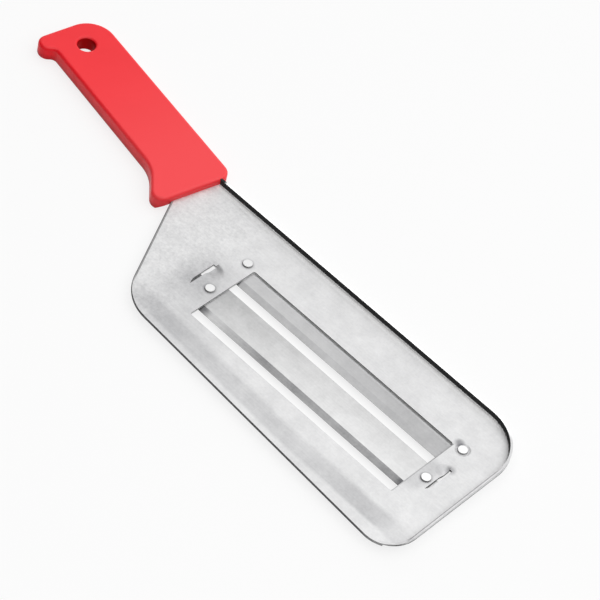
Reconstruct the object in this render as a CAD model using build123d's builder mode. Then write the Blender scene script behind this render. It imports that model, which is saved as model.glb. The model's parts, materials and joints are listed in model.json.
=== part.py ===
from build123d import *

import os
from math import atan2, cos, degrees, pi, radians, sin, tan

os.makedirs("parts", exist_ok=True)

# Frame: X runs along the plate to its tip, Y to the spine, Z up to the side the slices leave by.
# The origin is the centre of the hanging hole, halfway through the sheet. Sizes in mm, angles in degrees.

# Plate outline
sheet = 1.0
spine_y = -7.55
tip_margin = 22.2
tip_width = 85.7
edge_flare = 3.33
shoulder_x = 113.0
neck_lean = 26.57
tip_spine_radius = 21.5
tip_left_radius = 14.0
shoulder_radius = 22.0
edge_break = 0.3

# Upturned rim, highest along the spine and running out at the left tip corner
rim_spine = 2.8
rim_tip = 2.0
bend_inner = 0.3
fade_start = 5.0
fade_end = 3.0
tip_upstand = 6.0

# Window and blades
window_x = 136.1
window_length = 112.7
window_y = -31.5
window_width = 37.3
window_corner = 1.0
blade_width = 17.1
blade_thick = 0.9
bevel_width = 2.95
edge_land = 0.1
front_gap = 5.4
middle_gap = 5.05
blade_lap = 2.4
tongue_width = 6.4
tongue_reach = 9.5
blade_corner = 0.8

# Rivets
rivet_offset = 4.55
rivet_inset = 6.7
shank = 3.0
head_width = 4.8
head_flat = 4.0
head_height = 0.6
tail_width = 4.4
tail_height = 0.7

# Round recess coined into the sheet under the head of the rear toe rivet
coin_depth = 0.35
coin_width = 6.8
coin_floor = 5.4

# Lanced slots past both ends of the front blade, each with a pressed locating lug
slot_width = 1.3
slot_length = 15.0
slot_point = 4.0
slot_lead = 4.35
heel_slot_gap = 11.7
toe_slot_gap = 7.8
lug_length = 9.0
lug_floor = 2.6
heel_lug_drop = 0.3
toe_lug_drop = 0.05
lug_ramp = 2.4
heel_lug_reach = 6.6
toe_lug_reach = 5.0
lug_clear = 0.4
lug_taper = 0.85

# Handle, drawn along its own axis from the hanging hole
handle_lean = 10.7
handle_thick = 7.5
handle_end = -13.0
handle_front = 91.4
handle_right = 14.5
handle_flare = 0.6
front_slant = 1.3
handle_left = -14.0
handle_edge = 1.5
end_radius = 12.5
front_radius = 5.5
chin = 3.0
guard_start = 73.3
guard_angle = 33.6
guard_inner_radius = 20.0
guard_radius = 4.5
hook_reach = 4.6
hook_radius = 4.6
hook_blend = 3.0
hole_radius = 4.0
hole_edge = 1.1
tang_end = 22.0
tang_width = 18.0
tang_inset = 6.0

# Sizes that follow from the ones above
top = sheet / 2
under = -sheet / 2
bend_outer = bend_inner + sheet
window_end = window_x + window_length
window_left = window_y - window_width
tip_x = window_end + tip_margin
left_tip_y = spine_y - tip_width
shoulder_y = left_tip_y + (tip_x - shoulder_x) * tan(radians(edge_flare))
rivet_back = blade_width - rivet_inset
front_edge_y = window_left + front_gap
rear_edge_y = front_edge_y + blade_width + middle_gap
heel_rivet_x = window_x - rivet_offset
toe_rivet_x = window_end + rivet_offset
front_rivet_y = front_edge_y + rivet_back
rear_rivet_y = rear_edge_y + rivet_back
heel_slot_x = window_x - heel_slot_gap
toe_slot_x = window_end + toe_slot_gap
slot_y = front_rivet_y - slot_lead
heel_lug_depth = sheet + heel_lug_drop
toe_lug_depth = sheet + toe_lug_drop
lug_start = front_rivet_y + tongue_width / 2 + lug_clear
half_handle = handle_thick / 2
right_front = handle_right + handle_flare

handle_plane = Plane(
    origin=(0, 0, 0),
    x_dir=(cos(radians(handle_lean)), -sin(radians(handle_lean)), 0),
    z_dir=(0, 0, 1),
)


def in_handle(along, across):
    """Point of the handle's own axes, seen in the shared frame."""
    spot = handle_plane.from_local_coords(Vector(along, across, 0))
    return spot.X, spot.Y


def meet_handle(start, direction, along):
    """Where a line of the plate meets the handle's cross line at the distance along."""
    axis = handle_plane.x_dir
    step = (along - start[0] * axis.X - start[1] * axis.Y) / (direction[0] * axis.X + direction[1] * axis.Y)
    return start[0] + step * direction[0], start[1] + step * direction[1]


def quarter_turn(radius, face, rounding, turn):
    """Point of a rounded rim, from the flat face (0 degrees) down to the straight wall (90 degrees)."""
    return radius + rounding * (1 - sin(radians(turn))), face - rounding * (1 - cos(radians(turn)))


# Plate
shoulder = (shoulder_x, shoulder_y)
neck_line = (-sin(radians(neck_lean)), cos(radians(neck_lean)))
neck_end = handle_front - tang_inset
neck_inner = meet_handle(shoulder, neck_line, neck_end)
spine_inner = meet_handle((tip_x, spine_y), (1, 0), neck_end)
tip_spine = (tip_x, spine_y)
tip_left = (tip_x, left_tip_y)
rim_clear = tip_x - tip_left_radius - tip_upstand
fade_crest = (left_tip_y + tip_left_radius + fade_start, top + rim_tip)
fade_foot = (left_tip_y + fade_end, top)


def plate_outline():
    """Outline of the plate up to the handle, with its three rounded corners."""
    with BuildSketch() as outline:
        with BuildLine():
            Polyline(spine_inner, tip_spine, tip_left, shoulder, neck_inner, close=True)
        make_face()
        corners = ((tip_spine, tip_spine_radius), (tip_left, tip_left_radius), (shoulder, shoulder_radius))
        for corner, radius in corners:
            fillet(outline.vertices().sort_by_distance((*corner, 0))[0], radius)
    return outline.sketch


def plain_zone(start_x):
    """Area of the plate without an upturned rim: the left side, the neck and the left tip corner."""
    with BuildSketch() as zone:
        with BuildLine():
            Polyline(
                (start_x, spine_y - bend_outer),
                (rim_clear, spine_y - bend_outer),
                (rim_clear, fade_foot[0]),
                (tip_x + sheet, fade_foot[0]),
                (tip_x + sheet, left_tip_y - sheet),
                (start_x, left_tip_y - sheet),
                close=True,
            )
        make_face()
    return zone.sketch


with BuildPart() as slicer_plate:
    with BuildSketch(Plane.XY.offset(under)):
        add(plate_outline())
    extrude(amount=sheet + rim_spine)
    underside = slicer_plate.faces().sort_by(Axis.Z)[0].edges()
    fillet(underside.filter_by(lambda edge: edge.center().X > handle_front), bend_outer)

with BuildPart() as rim_pocket:
    with BuildSketch(Plane.XY.offset(top)):
        add(plate_outline())
        offset(amount=-sheet, kind=Kind.INTERSECTION)
    extrude(amount=2 * rim_spine)
    floor_edges = rim_pocket.faces().sort_by(Axis.Z)[0].edges()
    fillet(floor_edges.filter_by(lambda edge: edge.center().X > handle_front), bend_inner)

# plain cut sheet
with BuildPart() as cut_sheet:
    with BuildSketch(Plane.XY.offset(under)):
        add(plate_outline())
        add(plain_zone(spine_inner[0] - tip_width), mode=Mode.INTERSECT)
    extrude(amount=sheet)

# its broken upper edge
with BuildPart() as edge_trim:
    with BuildSketch(Plane.XY.offset(top - edge_break)):
        add(plate_outline())
        offset(amount=sheet, kind=Kind.INTERSECTION)
    extrude(amount=2 * edge_break)
    with BuildSketch(Plane.XY.offset(top - edge_break)):
        add(plate_outline())
    with BuildSketch(Plane.XY.offset(top + edge_break)):
        add(plate_outline())
        offset(amount=-2 * edge_break, kind=Kind.INTERSECTION)
    loft(ruled=True, mode=Mode.SUBTRACT)
    with BuildSketch(Plane.XY.offset(top - edge_break)):
        add(plain_zone(neck_end))
    extrude(amount=2 * edge_break, mode=Mode.INTERSECT)

with slicer_plate:
    add(rim_pocket.part, mode=Mode.SUBTRACT)
    add(cut_sheet.part)
    # only the spine and the tip keep their upstand
    with BuildSketch(Plane.XY.offset(top)):
        add(plain_zone(spine_inner[0] - tip_width))
    extrude(amount=2 * rim_spine, mode=Mode.SUBTRACT)
    add(edge_trim.part, mode=Mode.SUBTRACT)
    # upper line of the rim, seen along the plate
    with BuildSketch(Plane.YZ):
        with BuildLine():
            crest = Line((spine_y + sheet, top + rim_spine), fade_crest)
            run_out = TangentArc(crest @ 1, fade_foot, tangent=crest % 1)
            Polyline(
                run_out @ 1,
                (left_tip_y - sheet, top),
                (left_tip_y - sheet, top + 2 * rim_spine),
                (spine_y + sheet, top + 2 * rim_spine),
                crest @ 0,
            )
        make_face()
    extrude(amount=tip_x + sheet, mode=Mode.SUBTRACT)
    # tang inside the handle
    with BuildSketch(handle_plane.offset(under)):
        with Locations(((tang_end + neck_end) / 2, 0)):
            Rectangle(neck_end - tang_end + sheet, tang_width)
    extrude(amount=sheet)
    # window
    with BuildSketch(Plane.XY.offset(under)):
        with Locations((window_x + window_length / 2, window_y - window_width / 2)):
            RectangleRounded(window_length, window_width, window_corner)
    extrude(amount=sheet, mode=Mode.SUBTRACT)
    # coined recess of the rear toe rivet
    with Locations((toe_rivet_x, rear_rivet_y, top - coin_depth / 2)):
        Cone(coin_floor / 2, coin_width / 2, coin_depth, mode=Mode.SUBTRACT)
    # lugs pressed down beside the slots, falling from the sheet in a smooth curve
    lugs = (
        (heel_slot_x, heel_lug_reach, heel_lug_depth, -90),
        (toe_slot_x, toe_lug_reach, toe_lug_depth, 90),
    )
    for slot_x, reach, depth, turn in lugs:
        for level, mode in ((under, Mode.ADD), (top, Mode.SUBTRACT)):
            for share in (0, 1 / 3, 2 / 3, 1):
                fall = depth * (1 - cos(pi * share)) / 2
                length = lug_length + (lug_floor - lug_length) * share
                middle = lug_start + lug_length - lug_ramp * share - length / 2
                with BuildSketch(Plane.XY.offset(level - fall)):
                    with BuildLine():
                        width = reach * (1 - lug_taper * share)
                        bow = EllipticalCenterArc((slot_x, middle), width, length / 2, turn, arc_size=180)
                        Line(bow @ 1, bow @ 0)
                    make_face()
            loft(mode=mode)
    # lanced slots
    for slot_x, side in ((heel_slot_x, -1), (toe_slot_x, 1)):
        with BuildSketch(Plane.XY.offset(under - 2 * heel_lug_depth)):
            with BuildLine():
                far = slot_x + side * slot_width
                Polyline(
                    (far, slot_y + slot_point),
                    (far, slot_y + slot_length),
                    (slot_x, slot_y + slot_length),
                    (slot_x, slot_y),
                )
                TangentArc((far, slot_y + slot_point), (slot_x, slot_y), tangent=(0, -1))
            make_face()
        extrude(amount=4 * heel_lug_depth, mode=Mode.SUBTRACT)
    # rivet holes
    for rivet_y in (front_rivet_y, rear_rivet_y):
        with Locations((heel_rivet_x, rivet_y, 0), (toe_rivet_x, rivet_y, 0)):
            Cylinder(shank / 2, 4 * sheet, mode=Mode.SUBTRACT)
slicer_plate.part.label = "slicer_plate"
export_step(slicer_plate.part, "parts/slicer_plate.step")


def make_blade(edge_y):
    """Flat blade hung under the plate by a tongue at each end, ground on top along its left edge."""
    rivet_y = edge_y + rivet_back
    with BuildPart() as blade:
        with BuildSketch(Plane.XY.offset(under)) as shape:
            with Locations((window_x + window_length / 2, edge_y + blade_width / 2)):
                Rectangle(window_length + 2 * blade_lap, blade_width)
            with Locations((window_x + window_length / 2, rivet_y)):
                Rectangle(window_length + 2 * (rivet_offset + tongue_reach), tongue_width)
            fillet(shape.vertices(), blade_corner)
        extrude(amount=-blade_thick)
        with BuildSketch(Plane.YZ.offset(window_x - rivet_offset - tongue_reach)):
            with BuildLine():
                Polyline(
                    (edge_y - sheet, under - blade_thick + edge_land),
                    (edge_y, under - blade_thick + edge_land),
                    (edge_y + bevel_width, under),
                    (edge_y + bevel_width, top),
                    (edge_y - sheet, top),
                    close=True,
                )
            make_face()
        extrude(amount=window_length + 2 * (rivet_offset + tongue_reach), mode=Mode.SUBTRACT)
        with Locations((heel_rivet_x, rivet_y, under), (toe_rivet_x, rivet_y, under)):
            Cylinder(shank / 2, 4 * blade_thick, mode=Mode.SUBTRACT)
    return blade.part


front_blade = make_blade(front_edge_y)
front_blade.label = "front_blade"
export_step(front_blade, "parts/front_blade.step")

rear_blade = make_blade(rear_edge_y)
rear_blade.label = "rear_blade"
export_step(rear_blade, "parts/rear_blade.step")


def make_rivet(x, y, head_seat):
    """Pan-headed rivet through sheet and blade, with its closed end under the blade."""
    tail_seat = under - blade_thick
    with BuildPart() as rivet:
        with BuildSketch(Plane.XZ):
            with BuildLine():
                Polyline(
                    (0, head_seat + head_height),
                    (head_flat / 2, head_seat + head_height),
                    (head_width / 2, head_seat),
                    (shank / 2, head_seat),
                    (shank / 2, tail_seat),
                    (tail_width / 2, tail_seat),
                    (tail_width / 2 - tail_height / 2, tail_seat - tail_height),
                    (0, tail_seat - tail_height),
                    close=True,
                )
            make_face()
        revolve(axis=Axis.Z)
    return rivet.part.moved(Location((x, y, 0)))


rivet_places = {
    "rivet_front_heel": (heel_rivet_x, front_rivet_y, top),
    "rivet_front_toe": (toe_rivet_x, front_rivet_y, top),
    "rivet_rear_heel": (heel_rivet_x, rear_rivet_y, top),
    "rivet_rear_toe": (toe_rivet_x, rear_rivet_y, top - coin_depth),
}
for name, place in rivet_places.items():
    rivet_part = make_rivet(*place)
    rivet_part.label = name
    export_step(rivet_part, f"parts/{name}.step")

# Handle
guard_drop = (handle_front - guard_start) * tan(radians(guard_angle))
guard_y = handle_left - guard_drop
front_turn = degrees(atan2(front_slant, right_front - guard_y))
chin_plane = Plane(
    origin=(*in_handle(handle_front, guard_y), -half_handle),
    x_dir=handle_plane.x_dir.rotate(Axis.Z, -front_turn),
    z_dir=-handle_plane.y_dir.rotate(Axis.Z, -front_turn),
)
with BuildPart() as handle:
    with BuildSketch(handle_plane.offset(-half_handle)) as grip_outline:
        with BuildLine():
            Polyline(
                (handle_end, handle_right),
                (handle_front + front_slant, right_front),
                (handle_front, guard_y),
                (guard_start, handle_left),
                (handle_end, handle_left),
                close=True,
            )
        make_face()
        rounded = (
            (handle_end, handle_right, end_radius),
            (handle_front + front_slant, right_front, front_radius),
            (handle_front, guard_y, guard_radius),
            (guard_start, handle_left, guard_inner_radius),
        )
        for along, across, radius in rounded:
            corner = (*in_handle(along, across), -half_handle)
            fillet(grip_outline.vertices().sort_by_distance(corner)[0], radius)
        with Locations((handle_end + hook_radius, handle_left - hook_reach + hook_radius)):
            Circle(hook_radius)
        notch = (*in_handle(handle_end + 2 * hook_radius, handle_left), -half_handle)
        fillet(grip_outline.vertices().sort_by_distance(notch)[0], hook_blend)
    extrude(amount=handle_thick)
    rims = handle.faces().sort_by(Axis.Z)
    fillet(rims[0].edges() + rims[-1].edges(), handle_edge)
    # the lower front edge is cut back
    with BuildSketch(chin_plane):
        with BuildLine():
            Polyline((0, 0), (-chin, 0), (0, chin), close=True)
        make_face()
    extrude(amount=handle_front, both=True, mode=Mode.SUBTRACT)
    with BuildSketch(Plane.XZ):
        with BuildLine():
            rim_steps = [quarter_turn(hole_radius, half_handle, hole_edge, turn) for turn in (0, 30, 60, 90)]
            lower_steps = [(across, -height) for across, height in reversed(rim_steps)]
            Polyline((0, half_handle), *rim_steps, *lower_steps, (0, -half_handle), close=True)
        make_face()
    revolve(axis=Axis.Z, mode=Mode.SUBTRACT)
    add(slicer_plate.part, mode=Mode.SUBTRACT)
handle.part.label = "handle"
export_step(handle.part, "parts/handle.step")
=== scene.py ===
import json
from math import cos, pi, radians, sin, tan

import bpy
from mathutils import Matrix, Vector

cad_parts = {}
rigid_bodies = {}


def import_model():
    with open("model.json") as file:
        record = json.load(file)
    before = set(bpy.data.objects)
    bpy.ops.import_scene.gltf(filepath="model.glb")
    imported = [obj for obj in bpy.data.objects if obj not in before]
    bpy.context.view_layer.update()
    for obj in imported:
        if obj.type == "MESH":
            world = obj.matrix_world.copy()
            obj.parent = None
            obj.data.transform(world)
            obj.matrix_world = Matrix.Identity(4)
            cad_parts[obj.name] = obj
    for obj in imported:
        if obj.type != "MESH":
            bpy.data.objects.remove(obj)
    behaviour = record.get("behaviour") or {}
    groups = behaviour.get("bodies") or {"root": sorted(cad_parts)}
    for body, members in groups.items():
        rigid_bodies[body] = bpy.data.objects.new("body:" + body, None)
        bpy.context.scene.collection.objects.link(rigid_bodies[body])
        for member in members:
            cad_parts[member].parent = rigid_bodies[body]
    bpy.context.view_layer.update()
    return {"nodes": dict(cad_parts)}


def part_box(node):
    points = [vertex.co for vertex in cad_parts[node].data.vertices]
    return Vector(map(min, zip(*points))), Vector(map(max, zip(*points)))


for leftover in list(bpy.data.objects):
    bpy.data.objects.remove(leftover)

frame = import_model()
nodes = frame["nodes"]
scene = bpy.context.scene
scene.view_settings.view_transform = "Standard"


def middle_of(name):
    """Middle of a node's box."""
    low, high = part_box(name)
    return (low + high) / 2


# Places that the frame gives, in metres
floor_level = min(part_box(name)[0].z for name in nodes)
tip_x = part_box("slicer_plate")[1].x
first_rivet = middle_of("rivet_front_heel")
last_rivet = middle_of("rivet_rear_toe")
rivets_middle = (first_rivet + last_rivet) / 2
rivets_reach = (last_rivet - first_rivet) / 2

# The plate's outline, window and toe slot, which the frame doesn't give, in metres and radians
left_tip_y = -0.09325
edge_flare = radians(3.33)
tip_radius = 0.014
neck_lean = radians(26.57)
neck_offset = 0.06347
window_start = 0.1361
window_end = 0.2488
window_middle = -0.05015
window_half = 0.01865
window_right = window_middle + window_half
toe_slot = 0.2566

# Painted shade on the plate: round marks by place and (core, reach), zones by (middle, core, reach) along
# X and Y
shade_blob_size = (0.0006, 0.003)
slot_end_shade = (0.2572, -0.0424)
rivet_recess_shade = (0.2502, -0.0293)
shade_ring_size = (0.0024, 0.0034)
heel_shade_zone = (0.126, 0.002, 0.016), (-0.048, 0.004, 0.018)
toe_shade_zone = (0.2512, 0.002, 0.006), (-0.0525, 0.006, 0.012)

# Steel: brushed lines in cells per metre along X, Y and Z, the near black of dark edges and of painted
# shade, and its most on an edge
brushed = (18, 1400, 1400)
edge_and_shade_black = (0.04, 0.04, 0.041)
most_edge_dark = 0.88


# Node helpers

def new_material(name):
    """Material with an empty node tree, as (material, tree)."""
    material = bpy.data.materials.new(name)
    material.use_nodes = True
    tree = material.node_tree
    tree.nodes.clear()
    return material, tree


def new_surface(name):
    """Material with a Principled shader, as (material, tree, shader)."""
    material, tree = new_material(name)
    shader = tree.nodes.new("ShaderNodeBsdfPrincipled")
    output = tree.nodes.new("ShaderNodeOutputMaterial")
    tree.links.new(shader.outputs["BSDF"], output.inputs["Surface"])
    return material, tree, shader


def add(tree, kind, **sockets):
    """New node; sockets are set by their names, with _ for a blank."""
    node = tree.nodes.new(kind)
    for name, value in sockets.items():
        node.inputs[name.replace("_", " ")].default_value = value
    return node


def split(tree, vector):
    """X, Y and Z of a vector."""
    node = tree.nodes.new("ShaderNodeSeparateXYZ")
    tree.links.new(vector, node.inputs["Vector"])
    return node.outputs


def object_place(tree):
    """Place on the object, in metres."""
    return tree.nodes.new("ShaderNodeTexCoord").outputs["Object"]


def face_normal(tree):
    """Direction that the surface faces."""
    return tree.nodes.new("ShaderNodeNewGeometry").outputs["True Normal"]


def noise(tree, place, scale, detail, rough):
    """Noise value 0 to 1 at the place, scale in cells per metre."""
    node = add(tree, "ShaderNodeTexNoise", Scale=scale, Detail=detail, Roughness=rough)
    tree.links.new(place, node.inputs["Vector"])
    return node.outputs["Fac"]


def stretched(tree, place, along):
    """Place scaled differently along X, Y and Z, for brushed lines."""
    node = tree.nodes.new("ShaderNodeVectorMath")
    node.operation = "MULTIPLY"
    tree.links.new(place, node.inputs[0])
    node.inputs[1].default_value = along
    return node.outputs["Vector"]


def maths(tree, operation, first, second=0.0):
    """One operation on two values, either of them a socket or a number."""
    node = tree.nodes.new("ShaderNodeMath")
    node.operation = operation
    for socket, value in zip(node.inputs, (first, second)):
        if isinstance(value, (int, float)):
            socket.default_value = value
        else:
            tree.links.new(value, socket)
    return node.outputs["Value"]


def weighted(tree, *terms):
    """Sum of (value, weight) terms."""
    total = 0.0
    for value, weight in terms:
        total = maths(tree, "ADD", maths(tree, "MULTIPLY", value, weight), total)
    return total


def product(tree, *masks):
    """Product of masks."""
    total = 1.0
    for mask in masks:
        total = maths(tree, "MULTIPLY", mask, total)
    return total


def two_tones(tree, factor, first, second):
    """Colour between two tones, either of them a socket or a colour."""
    node = tree.nodes.new("ShaderNodeMix")
    node.data_type = "RGBA"
    tree.links.new(factor, node.inputs["Factor"])
    for socket, tone in (("A", first), ("B", second)):
        if isinstance(tone, tuple):
            node.inputs[socket].default_value = (*tone, 1)
        else:
            tree.links.new(tone, node.inputs[socket])
    return node.outputs["Result"]


def relief(tree, height, strength, distance, under=None):
    """Normal from a height, on top of another relief."""
    node = add(tree, "ShaderNodeBump", Strength=strength, Distance=distance)
    tree.links.new(height, node.inputs["Height"])
    if under is not None:
        tree.links.new(under, node.inputs["Normal"])
    return node.outputs["Normal"]


# Ramps and masks

def spread(tree, value, low, high, to_low, to_high):
    """Value mapped from one range to another, and held at its ends."""
    node = add(tree, "ShaderNodeMapRange", From_Min=low, From_Max=high, To_Min=to_low, To_Max=to_high)
    tree.links.new(value, node.inputs["Value"])
    return node.outputs["Result"]


def smooth(tree, value, low, high, to_low, to_high):
    """Value mapped from one range to another with soft ends."""
    result = spread(tree, value, low, high, to_low, to_high)
    result.node.interpolation_type = "SMOOTHSTEP"
    return result


def rise(tree, value, low, high, most=1):
    """0 up to the low value, and the most from the high value on."""
    return smooth(tree, value, low, high, 0, most)


def fall(tree, value, low, high, most=1):
    """The most up to the low value, and 0 from the high value on."""
    return smooth(tree, value, low, high, most, 0)


def apart(tree, value, middle):
    """Distance of a value from the middle."""
    return maths(tree, "ABSOLUTE", maths(tree, "SUBTRACT", value, middle))


def near(tree, value, middle, core, reach, most=1):
    """The most within the core round the middle, and 0 beyond the reach."""
    return fall(tree, apart(tree, value, middle), core, reach, most)


def away(tree, axes, x, y):
    """Distance from a point of the sheet, seen from above."""
    square = maths(tree, "POWER", apart(tree, axes["X"], x), 2.0)
    square = maths(tree, "ADD", square, maths(tree, "POWER", apart(tree, axes["Y"], y), 2.0))
    return maths(tree, "SQRT", square)


def round_shade(tree, axes, place, size):
    """Round mark of painted shade at the place, full within its core and gone at its reach, 0 to 1."""
    return fall(tree, away(tree, axes, *place), *size)


def zone(tree, axes, along, across):
    """Soft rectangle, given by its (middle, core, reach) along X and along Y, 0 to 1."""
    return product(tree, near(tree, axes["X"], *along), near(tree, axes["Y"], *across))


def steep_faces(tree, facing, steep, flat):
    """Faces whose normal has a Z up to the steep value, up or down, and none from the flat value on."""
    return fall(tree, maths(tree, "ABSOLUTE", facing["Z"]), steep, flat)


def in_sheet(tree, axes):
    """Everything below the rim, 0 to 1."""
    return fall(tree, axes["Z"], 0.0009, 0.0013)


def cut_edges(tree, axes, facing):
    """Steep faces within the sheet's thickness, 0 to 1."""
    return product(tree, steep_faces(tree, facing, 0.74, 0.86), in_sheet(tree, axes))


def rim_top(tree, axes):
    """Everything above the sheet and its bends, 0 to 1."""
    return rise(tree, axes["Z"], 0.0012, 0.0016)


# Dark places of the plate: dark edges and lines, and painted shade

def rim_inside(tree, axes, facing):
    """Inner face of the upturned rim, painted dark as shade."""
    inward = fall(tree, maths(tree, "MINIMUM", facing["X"], facing["Y"]), -0.6, -0.25)
    return product(tree, inward, rise(tree, axes["Z"], 0.00055, 0.0007))


def left_strip(tree, axes):
    """Strip along the plate's left edge."""
    return fall(tree, axes["Y"], -0.083, -0.081)


def plate_edges(tree, axes, facing):
    """Cut edges, less dark low down in the window and the heel slot, painted dark as shade in the toe
    slot, and fading at the left tip corner.
    """
    from_middle = apart(tree, axes["Y"], window_middle)
    outside = rise(tree, from_middle, window_half + 0.00015, window_half + 0.00075)
    upper = smooth(tree, axes["Z"], 0.0, 0.0003, 0.05, most_edge_dark)
    # Painted shade in the toe slot, where the floor would show through
    in_toe_slot = near(tree, axes["X"], toe_slot, 0.0012, 0.0016, 0.85)
    edge_darkness = weighted(tree, (outside, 1.0), (upper, 1.0), (in_toe_slot, 1.0))
    edge_darkness = maths(tree, "MINIMUM", edge_darkness, most_edge_dark)
    fading = product(tree, rise(tree, axes["X"], 0.252, 0.264, 0.4), left_strip(tree, axes))
    return product(tree, cut_edges(tree, axes, facing), edge_darkness, maths(tree, "SUBTRACT", 1.0, fading))


def tip_shade_line(tree, axes):
    """Painted shade line along the inside of the tip's rim, up to the corner at the spine."""
    return product(
        tree,
        rise(tree, axes["Z"], 0.0018, 0.0022, 0.5),
        fall(tree, axes["X"], tip_x - 0.00075, tip_x - 0.00055),
        fall(tree, axes["Y"], -0.032, -0.026),
    )


def corner_line(tree, axes):
    """Line round the left tip corner, where the rim runs out."""
    corner_x = tip_x - tip_radius
    corner_y = left_tip_y + tip_radius * tan(edge_flare) + tip_radius / cos(edge_flare)
    from_corner = away(tree, axes, corner_x, corner_y)
    return product(
        tree,
        rise(tree, from_corner, tip_radius - 0.00038, tip_radius - 0.00032, 0.6),
        near(tree, axes["X"], tip_x - 0.006, 0.001, 0.004),
        left_strip(tree, axes),
    )


def window_shadow_line(tree, axes):
    """Painted shadow line along the window's toe end, fainter to the left."""
    return product(
        tree,
        near(tree, axes["X"], window_end + 0.00015, 0.00015, 0.0004, 0.6),
        near(tree, axes["Y"], window_middle, window_half - 0.00045, window_half + 0.00015),
        smooth(tree, axes["Y"], -0.05, -0.04, 0.5, 1),
    )


def neck_line(tree, axes):
    """Line along the neck's edge."""
    across_neck = weighted(tree, (axes["X"], cos(neck_lean)), (axes["Y"], sin(neck_lean)))
    from_neck = maths(tree, "SUBTRACT", across_neck, neck_offset)
    return product(
        tree,
        fall(tree, from_neck, 0.0008, 0.0011, 0.6),
        fall(tree, axes["X"], 0.107, 0.111),
        in_sheet(tree, axes),
    )


def rim_handle_shadow(tree, axes):
    """Painted shadow of the handle on the start of the rim."""
    return product(tree, rim_top(tree, axes), fall(tree, axes["X"], 0.0945, 0.0965))


def plate_edges_and_shade(tree, axes, facing):
    """All dark places of the plate, 0 to 1: dark cut edges and lines, and painted shade and shadows."""
    dark = maths(tree, "MAXIMUM", plate_edges(tree, axes, facing), rim_inside(tree, axes, facing))
    for mark in (tip_shade_line, corner_line, window_shadow_line, neck_line, rim_handle_shadow):
        dark = maths(tree, "MAXIMUM", dark, mark(tree, axes))
    return dark


# Painted shade, painted reflections and painted highlights on the plate

def left_reflection_band(tree, axes):
    """Painted dark reflection in a band beside the left edge, strongest before the toe."""
    from_edge = weighted(tree, (axes["Y"], 1.0), (axes["X"], tan(edge_flare)))
    from_edge = maths(tree, "SUBTRACT", from_edge, left_tip_y + tip_x * tan(edge_flare))
    in_band = maths(tree, "SUBTRACT", from_edge, spread(tree, axes["X"], 0.2, 0.26, 0, 0.0034))
    return product(
        tree,
        rise(tree, in_band, 0.002, 0.0038),
        fall(tree, in_band, 0.0092, 0.0128),
        smooth(tree, axes["X"], 0.112, 0.128, 0.4, 1),
        smooth(tree, axes["X"], 0.222, 0.242, 1, 1.6),
        smooth(tree, axes["X"], 0.251, 0.264, 1, 0.4),
    )


def heel_reflection_patch(tree, axes):
    """Painted dark reflection on the sheet between the neck and the window."""
    return product(
        tree,
        rise(tree, axes["X"], 0.108, 0.122),
        fall(tree, axes["X"], 0.125, 0.175),
        fall(tree, axes["Y"], -0.062, -0.036),
    )


def toe_lug_shade(tree, axes, facing):
    """Painted shade on the slope of the lug that is pressed down at the toe."""
    slope = rise(tree, facing["X"], 0.04, 0.2)
    return product(tree, slope, near(tree, axes["X"], toe_slot - 0.0031, 0.0035, 0.0042))


def rivet_ring_shade(tree, axes):
    """Painted shade in rings round the four rivet heads, which the folded axes lay on each other."""
    folded = {way: apart(tree, axes[way], middle) for way, middle in zip("XY", rivets_middle)}
    return round_shade(tree, folded, rivets_reach.xy, shade_ring_size)


def neck_scratches(tree, axes):
    """Fine scratches towards the neck, lighter and darker than the sheet."""
    scratches = maths(tree, "SUBTRACT", noise(tree, object_place(tree), 700, 3.0, 0.65), 0.5)
    return product(tree, scratches, fall(tree, axes["X"], 0.115, 0.14))


def plate_shade(tree, axes, facing):
    """How much darker the plate is painted at each place, as shade and reflections; the spine and its rim
    get a painted highlight.
    """
    # The rim's top is darker at the tip and painted bright along the spine; the spine gets a painted
    # highlight
    rim_top_light = smooth(tree, axes["Y"], -0.014, -0.009, 0.4, -3.0)
    spine = rise(tree, axes["Y"], -0.012, -0.0092)
    return weighted(
        tree,
        (left_reflection_band(tree, axes), 0.9),
        (heel_reflection_patch(tree, axes), 0.7),
        (zone(tree, axes, *heel_shade_zone), 0.9),
        (zone(tree, axes, *toe_shade_zone), 0.9),
        (toe_lug_shade(tree, axes, facing), 0.4),
        (rivet_ring_shade(tree, axes), 1.1),
        (round_shade(tree, axes, slot_end_shade, shade_blob_size), 2.0),
        (round_shade(tree, axes, rivet_recess_shade, shade_blob_size), 2.8),
        (spine, -2.6),
        (neck_scratches(tree, axes), 2.2),
        (rim_top(tree, axes), rim_top_light),
    )


# Blades and rivets

def blade_bevel(tree, facing):
    """Ground bevel of a blade, 0 to 1."""
    return fall(tree, facing["Z"], 0.97, 0.99)


def front_blade_shade(tree, axes, facing):
    """Painted shade and painted reflection: darker towards the heel and the back, on the ground bevel with
    painted shadow at its ends, and on the tongue under the plate at the heel.
    """
    heel = fall(tree, axes["X"], 0.12, 0.2)
    back = rise(tree, axes["Y"], -0.06, -0.046)
    ground = weighted(
        tree,
        (smooth(tree, axes["X"], 0.135, 0.175, 0.3, 2.9), 1.0),
        (rise(tree, axes["X"], 0.215, 0.245), 0.2),
        (fall(tree, axes["X"], window_start + 0.0011, window_start + 0.0059), 2.5),
        (rise(tree, axes["X"], window_end - 0.0043, window_end - 0.0008), 1.0),
    )
    hidden = fall(tree, axes["X"], window_start - 0.0036, window_start - 0.0016)
    return weighted(tree, (heel, 1.2), (back, 0.6), (blade_bevel(tree, facing), ground), (hidden, 2.0))


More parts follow.
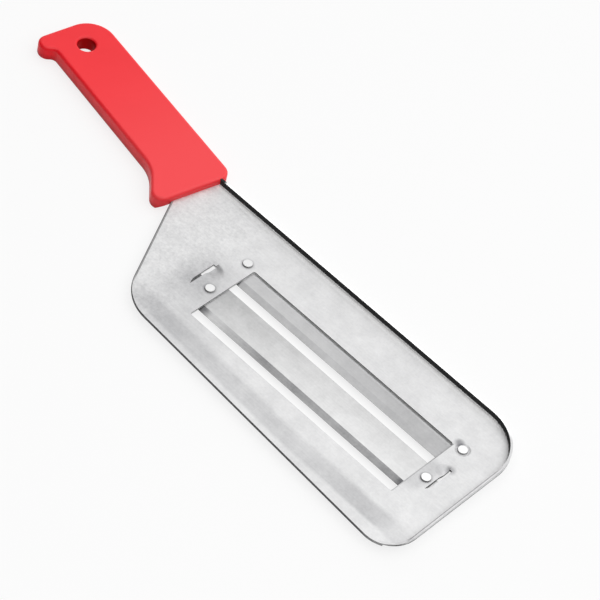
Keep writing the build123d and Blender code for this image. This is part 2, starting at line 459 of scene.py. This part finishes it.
def rear_blade_shade(tree, axes, facing):
    """Painted shade: darker on the ground bevel, and elsewhere darker towards the toe; a painted highlight
    along the back.
    """
    bevel = blade_bevel(tree, facing)
    flat = maths(tree, "SUBTRACT", 1.0, bevel)
    toe = spread(tree, axes["X"], 0.14, 0.25, 0.85, 2.45)
    back = rise(tree, axes["Y"], window_right - 0.002, window_right - 0.0002)
    return weighted(tree, (bevel, 2.4), (flat, toe), (back, -2.0))


def rivet_side_shade(tree, axes, facing):
    """Painted shade on the steep sides of the heads."""
    return product(tree, cut_edges(tree, axes, facing), 0.35)


# Materials

def steel(name, dark, light, rough, metal=1.0, shade=None, darkened_places=cut_edges, wave=0.0004):
    """Satin steel: cloudy tone, brushed lines, a slightly uneven surface, and dull dark cut edges.

    shade gives a further darkening and soiled the dark places, from the place and the face's direction;
    both hold painted shade, and shade also holds painted reflections and painted highlights."""
    material, tree, shader = new_surface(name)
    place = object_place(tree)
    axes = split(tree, place)
    facing = split(tree, face_normal(tree))
    # Dark cut edges and painted shade, drawn in near black
    darkening = darkened_places(tree, axes, facing)
    tree.links.new(spread(tree, darkening, 0, 1, metal, 0), shader.inputs["Metallic"])
    tree.links.new(spread(tree, darkening, 0, 1, 0.5, 0.05), shader.inputs["Specular IOR Level"])
    clouds = noise(tree, place, 120, 4.0, 0.62)
    lines = noise(tree, stretched(tree, place, brushed), 1.0, 2.0, 0.7)
    grain = noise(tree, place, 900, 2.0, 0.6)
    tone = spread(tree, weighted(tree, (clouds, 0.5), (lines, 0.2), (grain, 0.3)), 0.34, 0.66, 0, 1)
    if shade is not None:
        tone = maths(tree, "SUBTRACT", tone, shade(tree, axes, facing))
    finish = two_tones(tree, tone, dark, light)
    finish.node.clamp_factor = False
    tree.links.new(two_tones(tree, darkening, finish, edge_and_shade_black), shader.inputs["Base Color"])
    smear = noise(tree, place, 40, 3.0, 0.5)
    tree.links.new(spread(tree, smear, 0.3, 0.7, rough - 0.05, rough + 0.05), shader.inputs["Roughness"])
    waves = relief(tree, noise(tree, place, 28, 1.0, 0.4), 1.0, wave)
    tree.links.new(relief(tree, lines, 0.25, 0.00002, waves), shader.inputs["Normal"])
    return material


def plastic(name, dark, light, sheen_pink, shade_red):
    """Moulded plastic: fine spark texture, faint flow clouds, and a painted pink sheen towards the plate.

    The hanging hole's wall and the lower part of the sides take a darker red as painted shade, and are
    more matt."""
    material, tree, shader = new_surface(name)
    shader.inputs["IOR"].default_value = 1.49
    place = object_place(tree)
    axes = split(tree, place)
    flow = noise(tree, place, 45, 3.0, 0.5)
    body = two_tones(tree, spread(tree, flow, 0.3, 0.7, 0, 1), dark, light)
    with_sheen = two_tones(tree, rise(tree, axes["X"], 0.0, 0.085), body, sheen_pink)
    steep = steep_faces(tree, split(tree, face_normal(tree)), 0.3, 0.8)
    in_hole = round_shade(tree, axes, (0.0, 0.0), (0.005, 0.006))
    low = fall(tree, axes["Z"], -0.0036, 0.001, 0.85)
    shaded = product(tree, steep, maths(tree, "MAXIMUM", in_hole, low))
    tree.links.new(two_tones(tree, shaded, with_sheen, shade_red), shader.inputs["Base Color"])
    matt = product(tree, steep, maths(tree, "MAXIMUM", in_hole, 0.6))
    tree.links.new(spread(tree, matt, 0, 1, 0.5, 0.05), shader.inputs["Specular IOR Level"])
    smear = noise(tree, place, 120, 3.0, 0.6)
    tree.links.new(spread(tree, smear, 0.3, 0.7, 0.34, 0.46), shader.inputs["Roughness"])
    grain = noise(tree, place, 2600, 2.0, 0.5)
    tree.links.new(relief(tree, grain, 0.12, 0.00005), shader.inputs["Normal"])
    return material


rivet_steel = steel(
    "rivet_steel",
    dark=(0.74, 0.74, 0.74),
    light=(0.78, 0.78, 0.78),
    rough=0.3,
    darkened_places=rivet_side_shade,
    wave=0.0001,
)
finishes = {
    "slicer_plate": steel(
        "plate_steel",
        dark=(0.65, 0.65, 0.655),
        light=(0.79, 0.79, 0.792),
        rough=0.5,
        metal=0.5,
        shade=plate_shade,
        darkened_places=plate_edges_and_shade,
    ),
    "front_blade": steel(
        "front_blade_steel",
        dark=(0.57, 0.57, 0.571),
        light=(0.69, 0.69, 0.69),
        rough=0.38,
        shade=front_blade_shade,
    ),
    "rear_blade": steel(
        "rear_blade_steel",
        dark=(0.55, 0.55, 0.554),
        light=(0.637, 0.637, 0.641),
        rough=0.38,
        shade=rear_blade_shade,
    ),
    "handle": plastic(
        "red_plastic",
        dark=(0.93, 0.008, 0.018),
        light=(0.97, 0.011, 0.022),
        sheen_pink=(0.97, 0.045, 0.055),
        shade_red=(0.48, 0.002, 0.004),
    ),
}
for name, node in nodes.items():
    node.data.materials.clear()
    node.data.materials.append(finishes.get(name, rivet_steel))

# Floor, white to the camera and in reflections, which keeps a faint shadow
half_floor = 6.0
shadow_share = 0.22
floor_mesh = bpy.data.meshes.new("floor")
floor_mesh.from_pydata(
    [(half_floor * x, half_floor * y, floor_level) for x, y in ((-1, -1), (1, -1), (1, 1), (-1, 1))],
    [],
    [(0, 1, 2, 3)],
)
floor = bpy.data.objects.new("floor", floor_mesh)
scene.collection.objects.link(floor)
floor_material, tree = new_material("pale_floor")
pale = add(tree, "ShaderNodeBsdfDiffuse", Color=(0.9, 0.9, 0.9, 1))
white = add(tree, "ShaderNodeEmission", Color=(1, 1, 1, 1), Strength=1.0)
rays = tree.nodes.new("ShaderNodeLightPath")
seen = maths(tree, "MAXIMUM", rays.outputs["Is Camera Ray"], rays.outputs["Is Glossy Ray"])
seen = maths(tree, "MAXIMUM", seen, rays.outputs["Is Transmission Ray"])
share = maths(tree, "MULTIPLY", seen, 1 - shadow_share)
mixed = tree.nodes.new("ShaderNodeMixShader")
tree.links.new(share, mixed.inputs["Fac"])
tree.links.new(pale.outputs["BSDF"], mixed.inputs[1])
tree.links.new(white.outputs["Emission"], mixed.inputs[2])
tree.links.new(mixed.outputs["Shader"], tree.nodes.new("ShaderNodeOutputMaterial").inputs["Surface"])
floor_mesh.materials.append(floor_material)

# World: a light tent, bright behind the object, dark on the camera's side, dim past the tip and above
world = bpy.data.worlds.new("studio")
scene.world = world
world.use_nodes = True
tree = world.node_tree
background = tree.nodes["Background"]
background.inputs["Color"].default_value = (1, 1, 1, 1)
way = split(tree, tree.nodes.new("ShaderNodeTexCoord").outputs["Generated"])
behind = smooth(tree, way["Y"], -0.15, 0.5, 0.01, 1.05)
beside = smooth(tree, way["X"], 0.1, 0.5, 1.0, 0.2)
overhead = smooth(tree, way["Z"], 0.5, 0.8, 1.0, 0.1)
tree.links.new(product(tree, behind, beside, overhead), background.inputs["Strength"])

# Lamp: a broad square softbox overhead, whose radiance of 1 would show as white in a mirror
lamp_side = 3.0
lamp_radiance = 1.5
lamp_distance = 1.5
lamp_way = Vector((0.25, 0.1, 0.96))
lamp_target = Vector((0.13, -0.04, 0.0))
lamp = bpy.data.lights.new("key_softbox", "AREA")
lamp.shape = "SQUARE"
lamp.size = lamp_side
lamp.energy = lamp_radiance * pi * lamp_side ** 2
softbox = bpy.data.objects.new("key_softbox", lamp)
scene.collection.objects.link(softbox)
softbox.location = lamp_target + lamp_distance * lamp_way
softbox.rotation_euler = lamp_way.to_track_quat("Z", "Y").to_euler()

# Camera, as fitted to the photo
camera_place = Vector((0.56416, -0.66130, 0.83757))
camera_right = Vector((0.7065294, 0.68526796, 0.17670323))
camera_up = Vector((-0.60909922, 0.46172012, 0.64483538))
camera_data = bpy.data.cameras.new("camera")
camera_data.lens = 165
camera_data.sensor_width = 36
camera = bpy.data.objects.new("camera", camera_data)
scene.collection.objects.link(camera)
turn = Matrix((camera_right, camera_up, camera_right.cross(camera_up))).transposed().to_4x4()
camera.matrix_world = Matrix.Translation(camera_place) @ turn
scene.camera = camera
